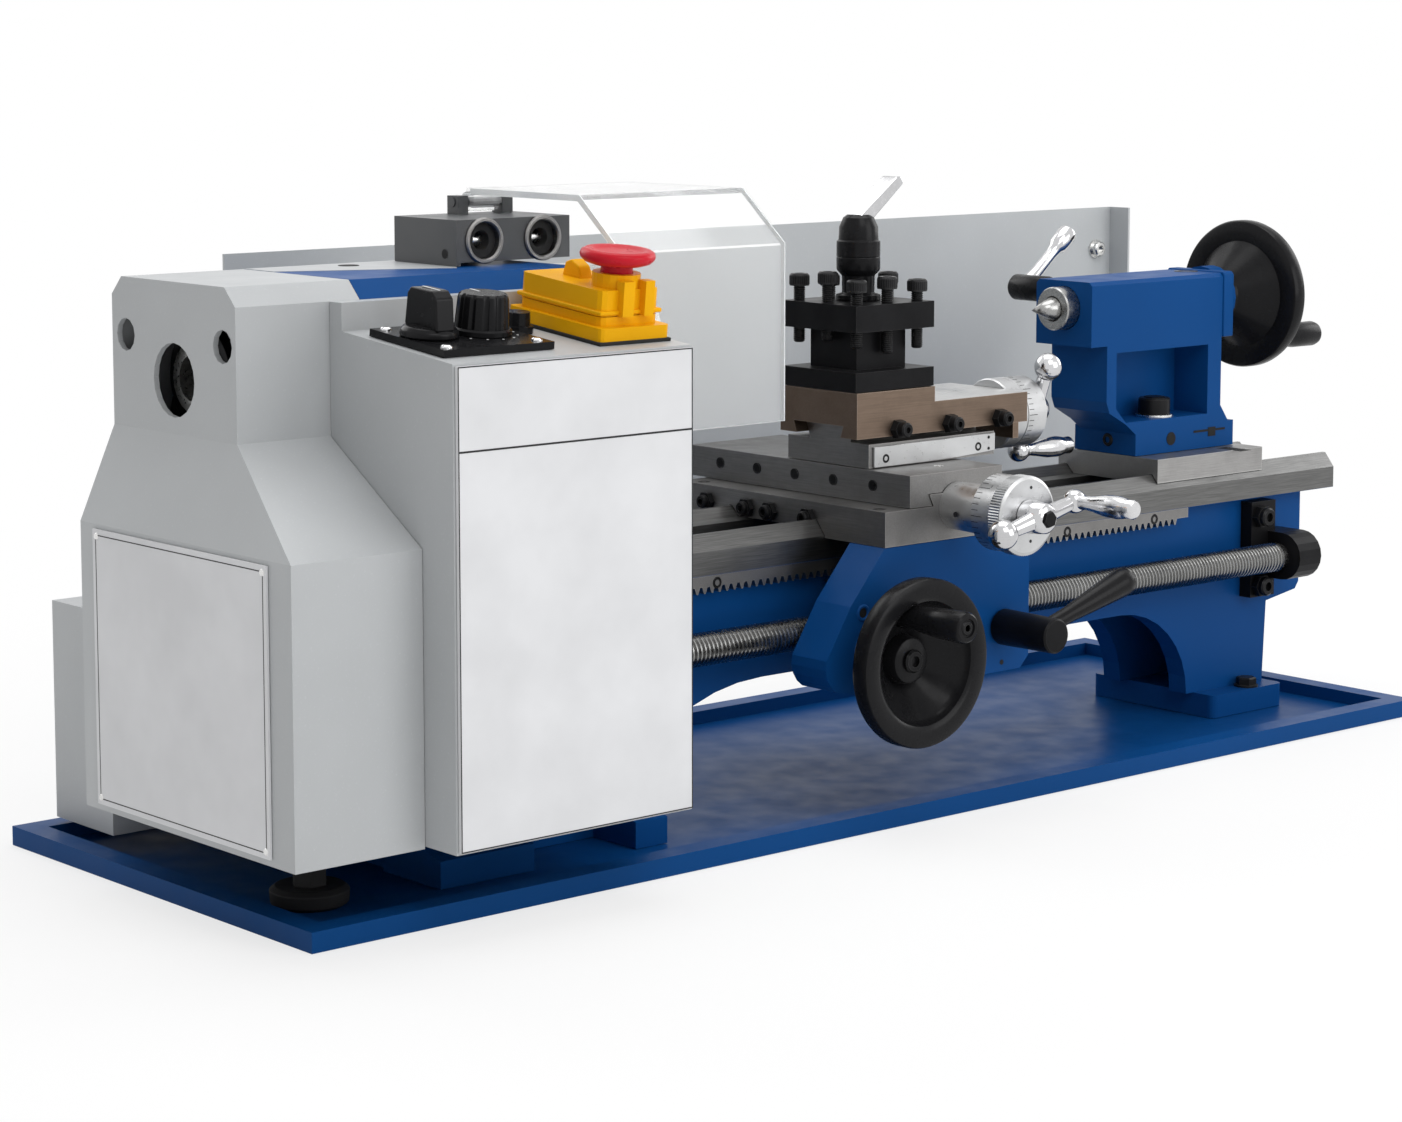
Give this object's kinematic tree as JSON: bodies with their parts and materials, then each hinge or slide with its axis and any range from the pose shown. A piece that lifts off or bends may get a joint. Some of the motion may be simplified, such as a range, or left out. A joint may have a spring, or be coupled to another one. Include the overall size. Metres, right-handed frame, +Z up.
{
  "type": "bench metal lathe",
  "caption": "Small bench metal-turning lathe with chuck, screw-driven carriage, compound slide, four-way tool post and tailstock on a chip tray.",
  "frame": {"origin": "middle of the chip tray's underside", "axes": "+X from the headstock to the tailstock along the bed, +Y from the operator's side to the back, +Z up"},
  "size_m": [0.7633, 0.3163, 0.3035],
  "materials": {
    "blue_enamel": "glossy enamel on castings and sheet",
    "grey_enamel": "satin light grey enamel",
    "label_white": "bare white plate",
    "ground_steel": "ground or turned steel",
    "machined_iron": "machined iron, oiled",
    "bronzed_iron": "brown machined iron",
    "black_oxide": "black oxide and black moulded grips",
    "chrome": "polished plating",
    "bracket_grey": "dark grey sheet",
    "clear_guard": "clear polycarbonate",
    "belt_rubber": "belt rubber",
    "knob_black": "black moulded plastic",
    "switch_yellow": "yellow moulded plastic",
    "stop_red": "red moulded plastic",
    "start_green": "green moulded plastic"
  },
  "bodies": {
    "frame": {"chip_tray": "blue_enamel", "bed": "blue_enamel", "rack": "ground_steel", "headstock": "blue_enamel", "spindle_bearing_left": "ground_steel", "spindle_bearing_right": "ground_steel", "change_gear_bracket": "machined_iron", "leadscrew_bracket": "black_oxide", "drive_belt": "belt_rubber", "motor": "black_oxide", "motor_cover": "grey_enamel", "gear_cover": "grey_enamel", "gear_chart_plate": "label_white", "control_box": "grey_enamel", "front_plate": "label_white", "control_panel": "knob_black", "fuse_cap": "knob_black", "switch_box": "switch_yellow", "guard_bracket": "bracket_grey", "splash_guard": "grey_enamel"},
    "spindle": {"spindle": "ground_steel", "chuck_body": "ground_steel"},
    "jaw_1": {"chuck_jaw_1": "ground_steel"},
    "jaw_2": {"chuck_jaw_2": "ground_steel"},
    "jaw_3": {"chuck_jaw_3": "ground_steel"},
    "idler_upper": {"idler_gear_upper": "ground_steel"},
    "idler_lower": {"idler_gear_lower": "ground_steel"},
    "leadscrew": {"leadscrew": "ground_steel"},
    "motor_rotor": {"motor_pulley": "ground_steel"},
    "carriage": {"saddle": "machined_iron", "apron": "blue_enamel", "cross_feed_sleeve": "ground_steel"},
    "apron_wheel": {"apron_handwheel": "black_oxide"},
    "rack_pinion": {"rack_pinion": "ground_steel"},
    "half_nut_lever": {"half_nut_lever": "black_oxide"},
    "half_nut_upper": {"half_nut_upper": "ground_steel"},
    "half_nut_lower": {"half_nut_lower": "ground_steel"},
    "cross_slide": {"cross_slide": "machined_iron"},
    "cross_crank": {"cross_feed_dial": "ground_steel", "cross_feed_crank": "chrome"},
    "compound": {"compound_base": "machined_iron"},
    "top_slide": {"top_slide": "bronzed_iron"},
    "compound_crank": {"compound_dial": "ground_steel", "compound_crank": "chrome"},
    "tool_post": {"tool_post": "black_oxide"},
    "tool_post_lever": {"tool_post_lever": "black_oxide"},
    "tailstock": {"tailstock_sole": "machined_iron", "tailstock_body": "blue_enamel", "tailstock_clamp": "black_oxide"},
    "quill": {"quill": "ground_steel", "dead_centre": "ground_steel"},
    "tail_wheel": {"tail_handwheel": "black_oxide"},
    "quill_lock": {"quill_lock_lever": "chrome"},
    "guard": {"chuck_guard": "clear_guard"},
    "direction_knob": {"direction_knob": "knob_black"},
    "speed_knob": {"speed_knob": "knob_black"},
    "switch_lid": {"switch_lid": "switch_yellow"},
    "stop_button": {"stop_button": "stop_red"},
    "start_button": {"start_button": "start_green"}
  },
  "joints": [
    {"name": "spindle_turn", "type": "hinge", "parent": "frame", "child": "spindle", "pos_m": [-0.165, -0.02, 0.228], "axis": [1, 0, 0], "continuous": true},
    {"name": "upper_idler_turn", "type": "hinge", "parent": "frame", "child": "idler_upper", "pos_m": [-0.324, -0.03539, 0.18571], "axis": [1, 0, 0], "continuous": true},
    {"name": "lower_idler_turn", "type": "hinge", "parent": "frame", "child": "idler_lower", "pos_m": [-0.324, -0.06467, 0.14395], "axis": [1, 0, 0], "continuous": true},
    {"name": "leadscrew_turn", "type": "hinge", "parent": "frame", "child": "leadscrew", "pos_m": [-0.065, -0.067, 0.087], "axis": [1, 0, 0], "continuous": true},
    {"name": "motor_turn", "type": "hinge", "parent": "frame", "child": "motor_rotor", "pos_m": [-0.336, 0.058, 0.066], "axis": [1, 0, 0], "continuous": true},
    {"name": "jaw_1_slide", "type": "slide", "parent": "spindle", "child": "jaw_1", "axis": [0, 0, 1], "range_m": [-0.005, 0.009]},
    {"name": "jaw_2_slide", "type": "slide", "parent": "spindle", "child": "jaw_2", "axis": [0, -0.866, -0.5], "range_m": [-0.005, 0.009]},
    {"name": "jaw_3_slide", "type": "slide", "parent": "spindle", "child": "jaw_3", "axis": [0, 0.866, -0.5], "range_m": [-0.005, 0.009]},
    {"name": "apron_wheel_turn", "type": "hinge", "parent": "carriage", "child": "apron_wheel", "pos_m": [-0.021, -0.1, 0.0786], "axis": [0, 1, 0], "range_deg": [-1101, 184]},
    {"name": "rack_pinion_turn", "type": "hinge", "parent": "carriage", "child": "rack_pinion", "pos_m": [-0.00322, -0.1, 0.1046], "axis": [0, 1, 0], "range_deg": [-92, 551]},
    {"name": "carriage_slide", "type": "slide", "parent": "frame", "child": "carriage", "axis": [1, 0, 0], "range_m": [-0.072, 0.012]},
    {"name": "half_nut_lever_turn", "type": "hinge", "parent": "carriage", "child": "half_nut_lever", "pos_m": [0.062, -0.1, 0.0825], "axis": [0, 1, 0], "range_deg": [0, 60]},
    {"name": "half_nut_upper_slide", "type": "slide", "parent": "carriage", "child": "half_nut_upper", "axis": [0, 0, 1], "range_m": [-0.0037, 0]},
    {"name": "half_nut_lower_slide", "type": "slide", "parent": "carriage", "child": "half_nut_lower", "axis": [0, 0, 1], "range_m": [0, 0.0037]},
    {"name": "cross_slide_slide", "type": "slide", "parent": "carriage", "child": "cross_slide", "axis": [0, 1, 0], "range_m": [0, 0.05]},
    {"name": "cross_crank_turn", "type": "hinge", "parent": "carriage", "child": "cross_crank", "pos_m": [0.029, -0.1004, 0.146], "axis": [0, 1, 0], "range_deg": [0, 18001]},
    {"name": "compound_swivel", "type": "hinge", "parent": "cross_slide", "child": "compound", "pos_m": [0.029, -0.04, 0.163], "axis": [0, 0, 1], "range_deg": [-45, 30]},
    {"name": "top_slide_slide", "type": "slide", "parent": "compound", "child": "top_slide", "axis": [1, 0, 0], "range_m": [-0.018, 0.012]},
    {"name": "compound_crank_turn", "type": "hinge", "parent": "top_slide", "child": "compound_crank", "pos_m": [0.111, -0.0415, 0.1792], "axis": [-1, 0, 0], "range_deg": [-4321, 6481]},
    {"name": "tool_post_turn", "type": "hinge", "parent": "top_slide", "child": "tool_post", "pos_m": [0.0185, -0.0415, 0.2008], "axis": [0, 0, 1], "continuous": true},
    {"name": "tool_post_lever_turn", "type": "hinge", "parent": "top_slide", "child": "tool_post_lever", "pos_m": [0.0185, -0.0415, 0.2428], "axis": [0, 0, 1], "range_deg": [-90, 90]},
    {"name": "tailstock_slide", "type": "slide", "parent": "frame", "child": "tailstock", "axis": [1, 0, 0], "range_m": [-0.035, 0.04]},
    {"name": "quill_slide", "type": "slide", "parent": "tailstock", "child": "quill", "axis": [-1, 0, 0], "range_m": [0, 0.045]},
    {"name": "tail_wheel_turn", "type": "hinge", "parent": "tailstock", "child": "tail_wheel", "pos_m": [0.332, -0.02, 0.228], "axis": [-1, 0, 0], "range_deg": [0, 10790]},
    {"name": "quill_lock_turn", "type": "hinge", "parent": "tailstock", "child": "quill_lock", "pos_m": [0.201, 0, 0.236], "axis": [0, 1, 0], "range_deg": [-30, 45]},
    {"name": "guard_hinge", "type": "hinge", "parent": "frame", "child": "guard", "pos_m": [-0.1865, 0.008, 0.2965], "axis": [-1, 0, 0], "range_deg": [0, 85]},
    {"name": "direction_knob_turn", "type": "hinge", "parent": "frame", "child": "direction_knob", "pos_m": [-0.298, -0.11554, 0.24924], "axis": [0, -0.1027, 0.9947], "range_deg": [-45, 45]},
    {"name": "speed_knob_turn", "type": "hinge", "parent": "frame", "child": "speed_knob", "pos_m": [-0.2715, -0.11653, 0.24914], "axis": [0, -0.1027, 0.9947], "range_deg": [0, 270]},
    {"name": "switch_lid_hinge", "type": "hinge", "parent": "frame", "child": "switch_lid", "pos_m": [-0.2105, -0.08507, 0.26083], "axis": [-1, 0, 0], "range_deg": [0, 75]},
    {"name": "stop_button_push", "type": "slide", "parent": "switch_lid", "child": "stop_button", "axis": [0, 0.1027, -0.9947], "range_m": [0, 0.003], "stiffness_N_per_m": 300, "springref_m": -0.002},
    {"name": "start_button_push", "type": "slide", "parent": "frame", "child": "start_button", "axis": [0, 0.1027, -0.9947], "range_m": [0, 0.003], "stiffness_N_per_m": 300, "springref_m": -0.002}
  ],
  "couplings": [
    {"joint": "upper_idler_turn", "follows": "spindle_turn", "ratio": -0.875},
    {"joint": "lower_idler_turn", "follows": "spindle_turn", "ratio": 0.77778},
    {"joint": "leadscrew_turn", "follows": "spindle_turn", "ratio": -0.7},
    {"joint": "motor_turn", "follows": "spindle_turn", "ratio": 2},
    {"joint": "jaw_2_slide", "follows": "jaw_1_slide", "ratio": 1},
    {"joint": "jaw_3_slide", "follows": "jaw_1_slide", "ratio": 1},
    {"joint": "apron_wheel_turn", "follows": "carriage_slide", "rad_per_m": 266.67},
    {"joint": "rack_pinion_turn", "follows": "carriage_slide", "rad_per_m": -133.33},
    {"joint": "half_nut_upper_slide", "follows": "half_nut_lever_turn", "m_per_rad": -0.00353},
    {"joint": "half_nut_lower_slide", "follows": "half_nut_lever_turn", "m_per_rad": 0.00353},
    {"joint": "cross_crank_turn", "follows": "cross_slide_slide", "rad_per_m": 6283.2},
    {"joint": "compound_crank_turn", "follows": "top_slide_slide", "rad_per_m": -6283.2},
    {"joint": "quill_slide", "follows": "tail_wheel_turn", "m_per_rad": 0.00023873}
  ]
}
